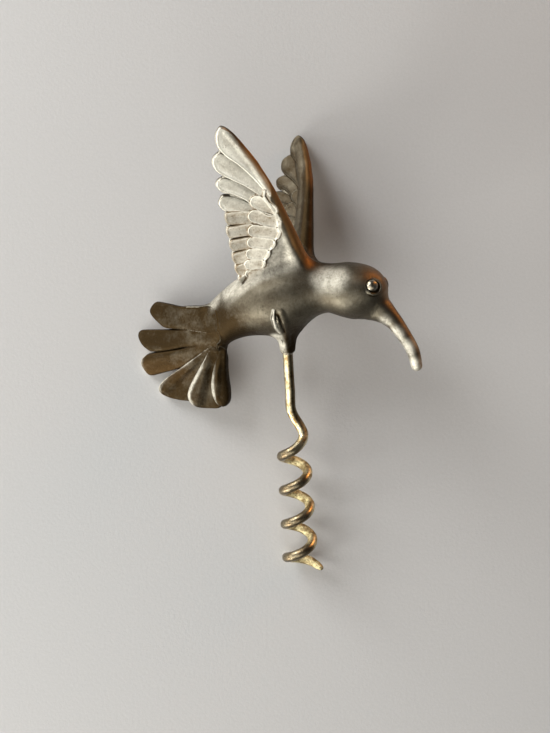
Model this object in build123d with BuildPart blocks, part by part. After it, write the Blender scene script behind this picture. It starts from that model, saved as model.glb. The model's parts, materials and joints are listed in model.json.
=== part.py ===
from build123d import *
import math
import os

# Hummingbird corkscrew: a hovering bird cast in metal is the handle, and a wire worm hangs below its belly.
#
# The bird is modelled upright: +X towards the beak, +Y to the bird's left, +Z up, in millimetres, with the
# worm's axis on Z and the mouth of the worm's socket near the origin. The last step lays every piece down
# on the bird's left side, the way the corkscrew rests on a table, and moves the origin to the middle of
# the footprint, on the table.

# ---- Driving dimensions, in the upright frame -------------------------------------------------------

# Body, rump to neck: x, centre height, half width, half height of each cross-section.
BODY_SECTIONS = (
    (-25.0, 6.2, 1.7, 5.9),
    (-20.0, 8.4, 3.9, 7.3),
    (-15.0, 11.2, 6.4, 8.1),
    (-8.0, 13.6, 8.9, 9.3),
    (-1.0, 14.4, 9.7, 10.0),
    (5.0, 15.6, 8.6, 8.9),
    (10.0, 16.8, 6.9, 6.9),
    (14.0, 16.9, 6.5, 6.6),
    (20.0, 16.2, 7.0, 7.2),
)
HEAD_CENTRE = (20.0, 16.2)
HEAD_RADII = (9.0, 7.25)  # along the head, and across it

# Beak: x, height and diameter of each section, from inside the head to the blunt tip.
BEAK_SECTIONS = (
    (26.4, 12.6, 7.0),
    (28.6, 9.9, 5.3),
    (30.6, 7.4, 4.3),
    (33.0, 4.2, 3.7),
    (35.0, 0.4, 3.5),
    (36.1, -3.2, 3.2),
)

EYE_PLACE = (26.2, 17.9)  # x and height
EYE_RADIUS = 1.55
EYE_RING_RADIUS = 2.15
EYE_RING_DEPTH = 0.45
EYE_DOME_HEIGHT = 0.75
EYE_SEAT_DEPTH = 0.9
EYE_PIN_DIAMETER = 1.2
EYE_PIN_LENGTH = 3.0

# Wing: a plate in its own plane. Span runs from the shoulder to the tip, chord from the leading edge back.
SHOULDER = Vector(6.8, -1.1, 23.2)
WING_SPAN_DIRECTION = Vector(-0.220, -0.599, 0.770)
WING_OUTWARD_NORMAL = Vector(0.304, -0.791, -0.531)
FEATHER_THICKNESS = 1.5
FEATHER_TILT = 6.0  # each feather turns this much about its own quill, so that it laps the next
# Long feathers first: root span, root chord, tip span, tip chord, root radius, tip radius.
WING_FEATHERS = (
    (24.0, -1.2, 43.9, 0.4, 1.9, 2.3),
    (20.0, 0.6, 37.9, 4.2, 2.2, 2.6),
    (15.0, 2.2, 31.3, 6.6, 2.2, 2.5),
)
# The shorter feathers run down the trailing edge between these two span and chord places.
SHORT_FEATHER_COUNT = 7
SHORT_FEATHER_TIPS = ((26.9, 8.2), (3.6, 15.2))
SHORT_FEATHER_ROOTS = ((14.0, 2.5), (0.0, 6.0))
SHORT_FEATHER_RADII = (2.0, 2.4)  # at the root and at the tip
# Leading edge: span, chord and radius of the rounded bar that carries the feathers.
LEADING_EDGE = (
    (-3.0, -0.2, 3.0),
    (5.0, -0.4, 2.3),
    (14.0, -1.6, 1.75),
    (26.0, -2.0, 1.4),
    (36.0, -1.5, 1.2),
    (44.0, -0.4, 0.9),
)
ARM_OUTLINE = ((-6.0, -1.5), (6.0, -1.5), (26.0, -1.5), (12.0, 6.0), (5.0, 13.0), (-5.0, 15.0))
ARM_THICKNESS = 2.6
WING_PEG = (-1.0, 7.0)  # span and chord of the peg's inner end
WING_PEG_DIAMETER = 2.0
WING_PEG_LENGTH = 9.0

# Tail: feathers in the bird's mid-plane, from the back to the belly: root x, z, tip x, z, root radius,
# tip radius.
TAIL_FEATHERS = (
    (-24.5, 9.2, -38.3, 10.4, 2.9, 3.1),
    (-25.0, 4.4, -43.8, 3.2, 2.6, 2.9),
    (-25.0, 1.6, -41.9, -4.2, 1.6, 3.1),
    (-24.6, 0.6, -36.3, -10.6, 1.3, 3.5),
    (-22.9, 1.0, -27.2, -13.4, 1.6, 3.9),
    (-20.8, 2.0, -21.6, -13.6, 1.4, 2.5),
)
TAIL_THICKNESS = 2.0
TAIL_TILT = 7.0
TAIL_TENON = (-27.0, -18.0, 4.6, 9.6)  # x from, x to, z from, z to
TAIL_TENON_THICKNESS = 2.0

# Worm: one wire, straight in the shank and wound into an open right-handed helix below it.
WIRE_DIAMETER = 2.8
SHANK_TOP = 11.0
SHANK_BOTTOM = -17.0
SHANK_FLAT_LENGTH = 5.0
SHANK_FLAT_DEPTH = 0.5
SOCKET_CLEARANCE = 0.05
BEND_POINTS = (Vector(1.5, 0.7, -21.0), Vector(3.1, 0.2, -24.6))
HELIX_TOP = -28.6
HELIX_BOTTOM = -62.6
HELIX_PITCH = 10.2
HELIX_RADIUS = 3.5
HELIX_CONE_ANGLE = 0.7  # the helix opens out a little towards its point
HELIX_START_TURN = 90.0  # turns the start of the helix onto the bird's right side
POINT_PLACES = (Vector(0.5, 4.3, -63.9), Vector(5.5, 2.3, -64.7))
POINT_SECTIONS = ((0.0, 1.4), (0.5, 1.4), (0.8, 1.0), (1.0, 0.35))  # share of the way, radius

# Boss under the belly, as radius and height from the socket's mouth up into the body.
BOSS_PROFILE = ((2.25, 0.9), (2.6, 2.4), (3.4, 4.2), (5.0, 6.0), (6.4, 9.0))
COLLAR_BOTTOM = -0.9
COLLAR_RADII = (1.75, 2.2)  # at the bottom and at the boss

# Tucked foot beside the boss, on the bird's right side.
FOOT_TOP = Vector(-0.6, -7.6, 11.9)
FOOT_BOTTOM = Vector(-0.6, -3.3, 4.6)
FOOT_RADII = (0.95, 0.7)  # at the top and at the bottom

# Lying pose, in degrees, once the bird is on its left side: the beak end is raised, the wings are raised,
# and the whole turns on the table. The first two bring the worm, the left wing's tip and the tail down
# on the table together.
BEAK_RAISED = 20.67
WINGS_RAISED = 11.73
HEADING = -0.5

# ---- Parts --------------------------------------------------------------------------------------------

wing_plane = Plane(origin=SHOULDER, x_dir=WING_SPAN_DIRECTION, z_dir=WING_OUTWARD_NORMAL)


def feather_plane(base, root, tip, tilt):
    """The plane of one feather: base, turned by tilt about the line from root to tip."""
    start = base.from_local_coords(Vector(*root))
    along = (base.from_local_coords(Vector(*tip)) - start).normalized()
    return Plane(origin=start, x_dir=along, z_dir=base.z_dir.rotate(Axis(start, along), tilt))


def fan(base, feathers, thickness, tilt):
    """Adds overlapping feathers to the open part, each a flat blade on its own tilted plane."""
    for root_x, root_y, tip_x, tip_y, root_radius, tip_radius in feathers:
        plane = feather_plane(base, (root_x, root_y), (tip_x, tip_y), tilt)
        length = math.dist((root_x, root_y), (tip_x, tip_y))
        with BuildSketch(plane) as blade:
            Circle(root_radius)
            with Locations((length, 0)):
                Circle(tip_radius)
            make_hull()
        extrude(blade.sketch, amount=thickness / 2, both=True)


def between(ends, share):
    """The place that share of the way from the first of two places to the second."""
    return tuple(a + (b - a) * share for a, b in zip(*ends))


# Body casting: body, head, beak and the boss that holds the worm.
with BuildPart() as body_form:
    for x, z, half_width, half_height in BODY_SECTIONS:
        with BuildSketch(Plane.YZ.offset(x)):
            with Locations((0, z)):
                Ellipse(half_width, half_height)
    loft()
    with BuildSketch(Plane.XZ):
        with Locations(HEAD_CENTRE):
            Ellipse(*HEAD_RADII)
            Rectangle(2 * HEAD_RADII[0], HEAD_RADII[1], align=(Align.CENTER, Align.MAX), mode=Mode.SUBTRACT)
    revolve(axis=Axis((HEAD_CENTRE[0], 0, HEAD_CENTRE[1]), (1, 0, 0)))
    with BuildLine():
        beak_curve = Spline(*[(x, 0, z) for x, z, _ in BEAK_SECTIONS])
    for x, z, diameter in BEAK_SECTIONS:
        with BuildSketch(Plane(origin=(x, 0, z), z_dir=beak_curve.tangent_at((x, 0, z)))):
            Circle(diameter / 2)
    loft()
    tip_x, tip_z, tip_diameter = BEAK_SECTIONS[-1]
    with Locations((tip_x, 0, tip_z)):
        Sphere(tip_diameter / 2)
    with BuildSketch(Plane.XZ):
        with BuildLine():
            Polyline((0, BOSS_PROFILE[-1][1]), (0, BOSS_PROFILE[0][1]), BOSS_PROFILE[0])
            Spline(*BOSS_PROFILE)
            Line(BOSS_PROFILE[-1], (0, BOSS_PROFILE[-1][1]))
        make_face()
    revolve(axis=Axis.Z)

# Wing: feathers fanned behind a rounded leading edge, and a peg that fits a hole in the shoulder.
short_feathers = []
for number in range(SHORT_FEATHER_COUNT):
    share = number / (SHORT_FEATHER_COUNT - 1)
    root = between(SHORT_FEATHER_ROOTS, share)
    tip = between(SHORT_FEATHER_TIPS, share)
    short_feathers.append((*root, *tip, *SHORT_FEATHER_RADII))

with BuildPart() as wing_form:
    with BuildSketch(wing_plane):
        with BuildLine():
            Polyline(*ARM_OUTLINE, close=True)
        make_face()
    extrude(amount=ARM_THICKNESS / 2, both=True)
    fan(wing_plane, WING_FEATHERS + tuple(short_feathers), FEATHER_THICKNESS, FEATHER_TILT)
    edge_points = [wing_plane.from_local_coords(Vector(s, c, 0)) for s, c, _ in LEADING_EDGE]
    with BuildLine():
        edge_curve = Spline(*edge_points)
    for point, (_, _, radius) in zip(edge_points, LEADING_EDGE):
        with BuildSketch(Plane(origin=point, z_dir=edge_curve.tangent_at(point))):
            Circle(radius)
    loft()
    split(bisect_by=Plane.XZ, keep=Keep.TOP)


def shank_section(clearance):
    """The keyed end of the wire, a round with a flat on its +X side, grown by clearance."""
    with BuildSketch() as section:
        Circle(WIRE_DIAMETER / 2 + clearance)
        with Locations((WIRE_DIAMETER / 2 - SHANK_FLAT_DEPTH + clearance, 0)):
            Rectangle(WIRE_DIAMETER, WIRE_DIAMETER, align=(Align.MIN, Align.CENTER), mode=Mode.SUBTRACT)
    return section.sketch


# Worm: keyed end, shank, bend, helix and point, all of one wire.
with BuildPart() as worm:
    with BuildSketch(Plane.XY.offset(SHANK_BOTTOM)):
        Circle(WIRE_DIAMETER / 2)
    extrude(amount=SHANK_TOP - SHANK_FLAT_LENGTH - SHANK_BOTTOM)
    with BuildSketch(Plane.XY.offset(SHANK_TOP - SHANK_FLAT_LENGTH)):
        add(shank_section(0))
    extrude(amount=SHANK_FLAT_LENGTH)
    helix = Helix(
        pitch=HELIX_PITCH,
        height=HELIX_TOP - HELIX_BOTTOM,
        radius=HELIX_RADIUS,
        center=(0, 0, HELIX_TOP),
        direction=(0, 0, -1),
        cone_angle=HELIX_CONE_ANGLE,
        mode=Mode.PRIVATE,
    ).rotate(Axis.Z, HELIX_START_TURN)
    with BuildSketch(Plane(origin=helix @ 0, z_dir=helix % 0)):
        Circle(WIRE_DIAMETER / 2)
    sweep(path=helix, is_frenet=True)
    with BuildLine():
        bend = Spline((0, 0, SHANK_BOTTOM), *BEND_POINTS, helix @ 0, tangents=((0, 0, -1), helix % 0))
    with BuildSketch(Plane(origin=bend @ 0, z_dir=bend % 0)):
        Circle(WIRE_DIAMETER / 2)
    sweep(path=bend)
    with BuildLine():
        point_curve = Spline(helix @ 1, *POINT_PLACES, tangents=(helix % 1, POINT_PLACES[1] - POINT_PLACES[0]))
    for share, radius in POINT_SECTIONS:
        with BuildSketch(Plane(origin=point_curve @ share, z_dir=point_curve % share)):
            Circle(radius)
    loft()


def wing_peg(clearance, mode):
    """Adds or cuts, in the open part, the peg of the right wing, grown by clearance."""
    start = wing_plane.from_local_coords(Vector(*WING_PEG, 0))
    with BuildSketch(Plane(origin=start, z_dir=wing_plane.x_dir)) as section:
        Circle(WING_PEG_DIAMETER / 2 + clearance)
    extrude(section.sketch, amount=WING_PEG_LENGTH, mode=mode)


def tail_tenon(clearance, mode):
    """Adds or cuts, in the open part, the tail's tenon, grown by clearance."""
    x_from, x_to, z_from, z_to = TAIL_TENON
    with Locations(((x_from + x_to) / 2, 0, (z_from + z_to) / 2)):
        Box(
            x_to - x_from + 2 * clearance,
            TAIL_TENON_THICKNESS + 2 * clearance,
            z_to - z_from + 2 * clearance,
            mode=mode,
        )


def eye_seat(clearance, mode):
    """Adds or cuts, on the current plane, the seat and pin of an eye, grown by clearance."""
    down = (Align.CENTER, Align.CENTER, Align.MAX)
    Cylinder(EYE_RADIUS + clearance, EYE_SEAT_DEPTH, align=down, mode=mode)
    Cylinder(EYE_PIN_DIAMETER / 2 + clearance, EYE_PIN_LENGTH, align=down, mode=mode)


head_x, head_z = HEAD_CENTRE
head_long, head_cross = HEAD_RADII
eye_dx = EYE_PLACE[0] - head_x
eye_dz = EYE_PLACE[1] - head_z
eye_y = -math.sqrt(head_cross**2 * (1 - (eye_dx / head_long) ** 2) - eye_dz**2)
eye_normal = Vector(eye_dx / head_long**2, eye_y / head_cross**2, eye_dz / head_cross**2)
ring_plane = Plane(origin=(EYE_PLACE[0], eye_y, EYE_PLACE[1]), z_dir=eye_normal).offset(EYE_RING_DEPTH)

# Right side of the casting's details, which the left side mirrors: foot, eye ring and sockets.
with BuildPart() as side_details:
    for point, radius in zip((FOOT_TOP, FOOT_BOTTOM), FOOT_RADII):
        with BuildSketch(Plane(origin=point, z_dir=FOOT_BOTTOM - FOOT_TOP)):
            Circle(radius)
    loft()
    with Locations(FOOT_BOTTOM):
        Sphere(FOOT_RADII[1])
    with Locations(ring_plane):
        Cylinder(EYE_RING_RADIUS, EYE_PIN_LENGTH, align=(Align.CENTER, Align.CENTER, Align.MAX))
with BuildPart() as side_sockets:
    wing_peg(SOCKET_CLEARANCE, Mode.ADD)
    with Locations(ring_plane):
        eye_seat(SOCKET_CLEARANCE, Mode.ADD)

with BuildPart() as bird_body:
    add(body_form.part)
    add(side_details.part)
    mirror(side_details.part, about=Plane.XZ)
    add(side_sockets.part, mode=Mode.SUBTRACT)
    mirror(side_sockets.part, about=Plane.XZ, mode=Mode.SUBTRACT)
    tail_tenon(SOCKET_CLEARANCE, Mode.SUBTRACT)
    with BuildSketch(Plane.XY):
        Circle(WIRE_DIAMETER / 2 + SOCKET_CLEARANCE)
    extrude(amount=SHANK_TOP - SHANK_FLAT_LENGTH, mode=Mode.SUBTRACT)
    with BuildSketch(Plane.XY.offset(SHANK_TOP - SHANK_FLAT_LENGTH)):
        add(shank_section(SOCKET_CLEARANCE))
    extrude(amount=SHANK_FLAT_LENGTH + SOCKET_CLEARANCE, mode=Mode.SUBTRACT)

with BuildPart() as right_wing:
    add(wing_form.part)
    add(bird_body.part, mode=Mode.SUBTRACT)
    wing_peg(0, Mode.ADD)

with BuildPart() as left_wing:
    mirror(right_wing.part, about=Plane.XZ)

with BuildPart() as tail_fan:
    fan(Plane.XZ, TAIL_FEATHERS, TAIL_THICKNESS, TAIL_TILT)
    add(bird_body.part, mode=Mode.SUBTRACT)
    tail_tenon(0, Mode.ADD)

# Eyes: domed beads on pins, seated in the rings.
dome_radius = (EYE_RADIUS**2 + EYE_DOME_HEIGHT**2) / (2 * EYE_DOME_HEIGHT)
with BuildPart(ring_plane) as right_eye:
    with Locations((0, 0, EYE_DOME_HEIGHT - dome_radius)):
        Sphere(dome_radius)
    up = (Align.CENTER, Align.CENTER, Align.MIN)
    Cylinder(EYE_RADIUS, EYE_DOME_HEIGHT, align=up, mode=Mode.INTERSECT)
    eye_seat(0, Mode.ADD)

with BuildPart() as left_eye:
    mirror(right_eye.part, about=Plane.XZ)

# Solder collar in the mouth of the boss, round the wire.
with BuildPart() as worm_solder:
    with BuildSketch(Plane.XY.offset(COLLAR_BOTTOM)):
        Circle(COLLAR_RADII[0])
    with BuildSketch(Plane.XY.offset(BOSS_PROFILE[0][1])):
        Circle(COLLAR_RADII[1])
    loft()
    Cylinder(WIRE_DIAMETER / 2, 2 * BOSS_PROFILE[-1][1], mode=Mode.SUBTRACT)

# ---- Lay the corkscrew down ---------------------------------------------------------------------------

pieces = {
    "bird_body": bird_body,
    "right_wing": right_wing,
    "left_wing": left_wing,
    "tail_fan": tail_fan,
    "worm": worm,
    "worm_solder": worm_solder,
    "right_eye": right_eye,
    "left_eye": left_eye,
}
# The bird on its left side, then the three turns of the lying pose.
lying = (
    Location((0, 0, 0), (0, 0, HEADING))
    * Location((0, 0, 0), (0, -BEAK_RAISED, 0))
    * Location((0, 0, 0), (WINGS_RAISED - 90, 0, 0))
)
box = Compound(children=[lying * piece.part for piece in pieces.values()]).bounding_box()
to_table = Location((-box.center().X, -box.center().Y, -box.min.Z)) * lying

os.makedirs("parts", exist_ok=True)
for name, piece in pieces.items():
    piece.part = to_table * piece.part
    piece.part.label = name
    export_step(piece.part, f"parts/{name}.step")
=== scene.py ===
import json
import math

import bmesh
import bpy
import numpy as np
from mathutils import Matrix, Vector


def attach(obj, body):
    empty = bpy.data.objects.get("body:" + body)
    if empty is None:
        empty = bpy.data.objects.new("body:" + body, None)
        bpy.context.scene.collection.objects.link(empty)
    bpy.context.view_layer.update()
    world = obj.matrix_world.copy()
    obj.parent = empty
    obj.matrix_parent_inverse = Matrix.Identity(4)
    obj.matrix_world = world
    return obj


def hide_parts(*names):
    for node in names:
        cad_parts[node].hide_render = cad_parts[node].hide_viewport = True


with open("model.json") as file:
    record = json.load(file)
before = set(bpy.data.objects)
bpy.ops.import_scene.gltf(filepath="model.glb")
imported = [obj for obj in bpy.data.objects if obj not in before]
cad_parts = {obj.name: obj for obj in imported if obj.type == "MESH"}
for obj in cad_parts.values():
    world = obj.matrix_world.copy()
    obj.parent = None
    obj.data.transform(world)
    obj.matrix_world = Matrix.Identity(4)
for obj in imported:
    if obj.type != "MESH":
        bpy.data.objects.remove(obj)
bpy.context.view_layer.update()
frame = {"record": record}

# A cast hummingbird with a wire worm, lying on its left side on a pale table.
#
# The castings are sculpted as signed distance fields in the bird's own frame, in millimetres: x towards
# the beak, y to the bird's left, z up, with the worm's axis on z. The fields are meshed on a fine grid,
# and the result is laid on the table by the same three turns as the CAD model.

# ---- Sizes, in millimetres in the bird's frame

X, Z = 0, 2  # columns of an array of places
FAR = 1e9
NO_HEIGHT = -9.0  # half thickness where there is no feather
CORNERS = [(i, j, k) for i in (0, 1) for j in (0, 1) for k in (0, 1)]

BODY_STEP = 0.2
WING_STEP = 0.145
CHART_STEP = 0.08
BLOCK = 5  # grid steps in a block of the coarse pass
CHUNK = 300000  # places whose field is worked out at a time
# Boxes that the castings are meshed in: low and high corners, the wing's as span, chord and height.
BODY_BOX = ((-29.5, -13, -6.5), (39.5, 13, 31))
TAIL_BOX = ((-48, -6.5, -19), (-16, 6.5, 16.5))
WING_BOX = ((2, -6, -4.6), (48, 20.5, 4.6))

# How widely the parts of the casting blend into each other.
HEAD_BLEND = 1.5
BEAK_BLEND = 1.2
BOSS_BLEND = 2.2
ARM_BLEND = 4.0
FEATHER_BLEND = 0.12
TAIL_BLEND = 2.8
TAIL_ROOT_BLEND = 1.6
EYE_RING_BLEND = 0.35

# Body, rump to neck: x, centre height, half width, half height.
BODY_SECTIONS = (
    (-30, 6.6, 0.5, 3.4), (-27.5, 6.5, 1.15, 4.4), (-25, 6.4, 1.95, 5.45), (-20, 8.4, 3.9, 7.3),
    (-15, 11.2, 6.4, 8.1), (-8, 13.6, 8.9, 9.3), (-1, 14.4, 9.7, 10), (5, 15.6, 8.6, 8.9),
    (10, 16.8, 6.9, 6.9), (14, 16.9, 6.5, 6.6), (19, 16.4, 6.9, 7), (24, 15.6, 5, 5.2),
)
HEAD_CENTRE = (20, 0, 16.2)
HEAD_RADII = (9, 7.25, 7.25)
CHIN_LINE = ((19.5, 0, 12.6, 3.4), (24, 0, 11.2, 2.9), (27.6, 0, 9.7, 2.2))

# Beak: x, z and radius, from inside the head to the blunt tip.
BEAK_LINE = (
    (25.4, 12.9, 3.6), (27.6, 10.9, 2.9), (29.3, 9, 2.45), (31, 7, 2.15), (33.5, 3.2, 1.83),
    (35, 0.4, 1.72), (35.75, -1.9, 1.6), (36.1, -4, 1.42),
)

EYE_PLACE = (26.2, -4.97, 17.9)
EYE_NORMAL = (0.52, -0.82, 0.24)
EYE_RADIUS = 1.55
EYE_DOME = 1.15
EYE_RING_RADIUS = 2.0
EYE_RING_TUBE = 0.34

SHOULDER = (6.8, -1.1, 23.2)
WING_SPAN = (-0.220, -0.599, 0.770)
WING_CHORD = (-0.927, -0.117, -0.356)
WING_NORMAL = (0.304, -0.791, -0.531)
WING_CUT = 4.0  # the wing's own piece starts this far along the span
ROOT_SWELL = 0.75  # how much thicker the wing is at its root
SWELL_SPAN = 14.0  # where along the span that swelling ends

# Long feathers of the wing, tip feather first, as span and chord: the outline, the quill from root to
# tip, and the half width.
LONG_FEATHERS = (
    (
        ((24, -2.2), (27.3, -1.5), (31.5, -0.7), (35.8, 0.5), (39, 1.8), (41.7, 2.4), (44, 1.9),
         (45.8, 0.7), (46.4, -0.7), (44.6, -2), (40.9, -2.9), (34.2, -3.7), (26.9, -3.8)),
        ((25, -2.7), (45.5, 0)), 2.4,
    ),
    (
        ((22.5, -0.6), (26.5, 0.5), (29.8, 2), (32.9, 3.9), (35.3, 5.3), (37.4, 6), (39.6, 5.5),
         (40.6, 4.2), (40.4, 2.4), (36, 0), (30, -1.6), (24, -2.2)),
        ((24, -1), (40, 4.2)), 2.5,
    ),
    (
        ((22, 1.7), (24.5, 3.1), (27.2, 4.3), (29.4, 5.9), (30.7, 7.4), (32.2, 8), (33.6, 7.9),
         (34.4, 6.8), (34, 5), (30.5, 1.8), (26, -0.2), (22.5, -0.6)),
        ((22.5, 0.6), (33.6, 6.6)), 2.2,
    ),
    (
        ((20.5, 3.2), (23.3, 5.7), (24.6, 7.6), (25.9, 9.7), (27.6, 10.3), (29.2, 9.7), (29.9, 8.2),
         (28.4, 5.9), (25.4, 3.5), (22, 1.9)),
        ((21.5, 2.9), (28.6, 8.9)), 2,
    ),
)
# Short feathers along the trailing edge: the quill from root to tip, and the half width.
SHORT_FEATHERS = (
    ((21.4, 5.6), (24, 11), 2.15), ((17.9, 6.8), (19.9, 12.9), 1.95),
    ((14.3, 8.6), (15.9, 14.2), 1.95), ((10.8, 10.2), (11.9, 15.6), 2),
    ((7.6, 11.8), (8, 16.7), 1.95), ((5.2, 13), (4.3, 17.3), 1.7),
)
SHORT_TIP_ROUND = 3.4  # radius of the short feathers' blunt ends
# Coverts, the row of scales over the feathers' roots: root, tip and half width.
COVERTS = (
    ((20.6, -0.3), (24.4, 1.3), 1.95), ((17.3, 0.6), (20.9, 3.7), 2.05),
    ((14.1, 2.1), (17, 5.9), 2.05), ((11.9, 4.8), (14, 7.9), 1.95), ((9.7, 7.4), (11.1, 10), 1.85),
    ((7.4, 9.8), (8.4, 12), 1.75), ((5.6, 12), (5.9, 13.6), 1.4),
)

# Arm: the rounded leading edge, as span, chord, height and radius.
ARM_LINE = (
    (-6, 3, 0, 4.2), (2, 0.9, -0.1, 2.9), (9, -0.5, -0.35, 2.15), (16, -1.5, -0.4, 1.7),
    (25, -2.5, -0.3, 1.35), (34, -2.7, -0.15, 1.1), (41, -1.9, 0, 0.95), (44.6, -0.9, 0, 0.85),
)
# The broad smooth roll behind the leading edge, full on the wing's inner face: span, chord, 0, radius.
ARM_ROLL = (
    (6, 1.6, 0, 3), (16, 0.2, 0, 2.6), (27, -1.2, 0, 2.3), (37, -0.7, 0, 2.2),
    (43.2, 0, 0, 1.7),
)
# The smooth web between the arm and the feathers: span, chord, half width.
ARM_WEB = ((-5, 8, 9), (4, 6.5, 7.6), (10, 3.4, 5), (16, 0.9, 3), (24, -1.3, 1.6))

# Tail feathers from the back to the belly, as x and z: the outline, the quill from root to tip, and the
# half width.
TAIL_FEATHERS = (
    (
        ((-20, 12.2), (-26.2, 12.5), (-31.5, 12.6), (-35, 13.3), (-38.4, 14), (-40, 13.8),
         (-41.5, 12), (-41.1, 10.4), (-39.2, 8.4), (-36.6, 6.7), (-30, 6.3), (-20, 6)),
        ((-20, 9), (-40.6, 11.6)), 3.4,
    ),
    (
        ((-20, 6.4), (-30.8, 6), (-37, 5.9), (-43.3, 5.9), (-45.6, 5.6), (-46.2, 4.2),
         (-45.5, 2.3), (-44, 0.7), (-42, -0.2), (-37.6, 0), (-30, 1.3), (-20, 2.6)),
        ((-20, 4.4), (-45.4, 3.2)), 2.9,
    ),
    (
        ((-21, 2.6), (-28, 1.2), (-34.5, 0), (-41.5, -0.9), (-44.6, -1.8), (-46, -3.8),
         (-45.2, -6), (-43.4, -7.5), (-39, -6.6), (-32.6, -4.8), (-25.5, -1), (-21, 1)),
        ((-21.5, 1.8), (-44.4, -4.4)), 2.8,
    ),
    (
        ((-21.5, 1.5), (-28.2, -2.3), (-32.7, -5.1), (-38.7, -8.9), (-40.7, -11.3), (-40, -13),
         (-37, -14.3), (-32.5, -15), (-29.2, -14.4), (-27.6, -9.4), (-24.8, -3.7), (-21, 0)),
        ((-22, 0.6), (-37.8, -12.8)), 3.6,
    ),
    (
        ((-22, 1.5), (-26, -4.3), (-28.1, -7.2), (-30.2, -10.6), (-31.2, -13.2), (-30.6, -15.4),
         (-28.6, -16.7), (-25, -17), (-21.6, -16.6), (-20.8, -13), (-21.2, -7), (-20.6, 1)),
        ((-21.6, 0.6), (-26.8, -15.6)), 4.3,
    ),
    (
        ((-19.5, 1.2), (-20.8, -2), (-22.1, -5.2), (-23.1, -8.8), (-23.2, -12.2), (-22.3, -15.2),
         (-20.4, -16.4), (-18.9, -15), (-18.5, -11.8), (-18.8, -7), (-18.7, -0.6)),
        ((-19.3, 1), (-21.2, -15.4)), 2.5,
    ),
)
TAIL_CUT_POINT = (-26.5, 12.5)
TAIL_CUT_NORMAL = (-0.842, -0.539)

BOSS_LINE = ((-0.55, 1.98), (2.5, 2.5), (5, 3.7), (8, 5.2))  # height and radius round the worm's axis
BOSS_TOP = 13.0
# The tucked-up leg beside the boss, its groove, its face and the ridge down the boss: x, y, z, radius.
LEG_LINE = ((0.4, -9.5, 12.4, 0.12), (0, -9.2, 10.2, 0.5), (0.05, -7.7, 7.8, 0.62), (0.3, -5.7, 6, 0.5))
LEG_GROOVE = (
    (1.5, -9.5, 11.6, 0.1), (1.7, -8.7, 9.6, 0.15), (1.8, -7.2, 7.4, 0.18), (1.6, -5.6, 6, 0.15)
)
LEG_FACE = ((0.9, -9.1, 10.8, 0.2), (0.9, -8.3, 9.2, 0.5), (0.95, -7.1, 7.6, 0.55), (0.9, -5.7, 6.1, 0.45))
BOSS_RIDGE = ((2.1, -8.6, 12, 0.4), (2.2, -6.9, 9, 0.8), (1.4, -4.1, 5.6, 0.9), (0.6, -2, 2.2, 0.8))

WORM_STEP = 0.22
SHANK_HEIGHTS = (0.6, -4, -8.5, -13, -17)
BEND_POINTS = ((1.5, 0.7, -21), (3.1, 0.2, -24.6))
HELIX_TOP = -28.6
HELIX_BOTTOM = -62.6
HELIX_PITCH = 10.2
HELIX_RADIUS = 3.5
HELIX_CONE = math.tan(math.radians(0.7))  # the helix opens out a little towards its point
HELIX_START = math.radians(-90)
POINT_PLACES = ((0.5, 4.3, -64), (5.7, 2.3, -65.4))
POINT_RADII = (1.4, 1.36, 1.14, 0.85, 0.5)  # the wire's radius from the last turn to the point
POINT_SHARES = (0, 0.5, 0.8, 0.95, 1)

# Raised line along the feathers' roots, where they stand above the smooth arm: span, chord, half width.
PLATEAU_RIDGE = (
    (26.4, -1.8, 0.4), (25, -0.8, 0.45), (22.4, -0.9, 0.5), (19, -1.1, 0.5), (16.8, -0.8, 0.55),
    (13.7, 0.5, 0.55), (11.8, 2.4, 0.55), (10, 4.8, 0.5), (8.6, 7, 0.5), (6.4, 9.2, 0.45),
    (4.6, 11.2, 0.4),
)
# For each tail feather: which side is raised, how high and how wide its swelling is, how deeply the other
# side is dished, how much the whole feather is raised, and how softly its edges are rounded.
TAIL_ROLLS = (
    (1, 0.25, 1.6, 0.5, 0, 0.5), (1, 0.35, 1.6, 0.6, 0, 0.5), (-1, 0.6, 1.8, 0.4, 0.05, 0.5),
    (-1, 0.8, 2.2, 0.9, 0.1, 0.5), (-1, 1.25, 2.2, 0.92, 0.25, 0.45), (-1, 1.35, 2.3, 0.35, 0.45, 0.45),
)
# The tail's thick root and the slit in the boss beside the worm: x, y, z, radius.
TAIL_ROOT = ((-28, 0, 4.4, 1.5), (-23, 0, 2.8, 2), (-20.8, 0, 2.6, 1.9))
BOSS_SLIT = ((-0.35, -3, 3.4, 0.12), (-0.45, -2.6, 1.6, 0.2), (-0.5, -2.4, 0, 0.2))
# The solder collar's section: radius, height, raggedness.
COLLAR_PROFILE = (
    (1.35, 0.3, 0), (1.7, 0.25, 0), (1.86, -0.3, 0.3), (1.8, -0.7, 0.7), (1.6, -0.95, 1),
    (1.44, -1, 1), (1.35, -0.7, 0.5),
)

# Places that are rubbed bright and carry painted highlights: x, y, z, how far they reach and how strongly.
RUBBED_AND_HIGHLIGHT_SPOTS = (
    (13.5, 4.5, 20, 5.5, 0.8), (17, 5, 19.5, 5, 0.75), (-14, 3.5, 18.5, 6.5, 0.8),
    (-20, 2, 14.8, 4.5, 0.7), (-1.4, 1.8, 2, 3.2, 1), (-1.6, 3.2, 4.5, 3, 0.95),
    (28.6, 1, 8.6, 2.8, 0.5), (31.6, 1.2, 4.8, 3.2, 0.6), (34, 1.2, 1, 3.6, 0.75),
    (35.7, 0.8, -3.8, 3.6, 0.85),
)
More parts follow.
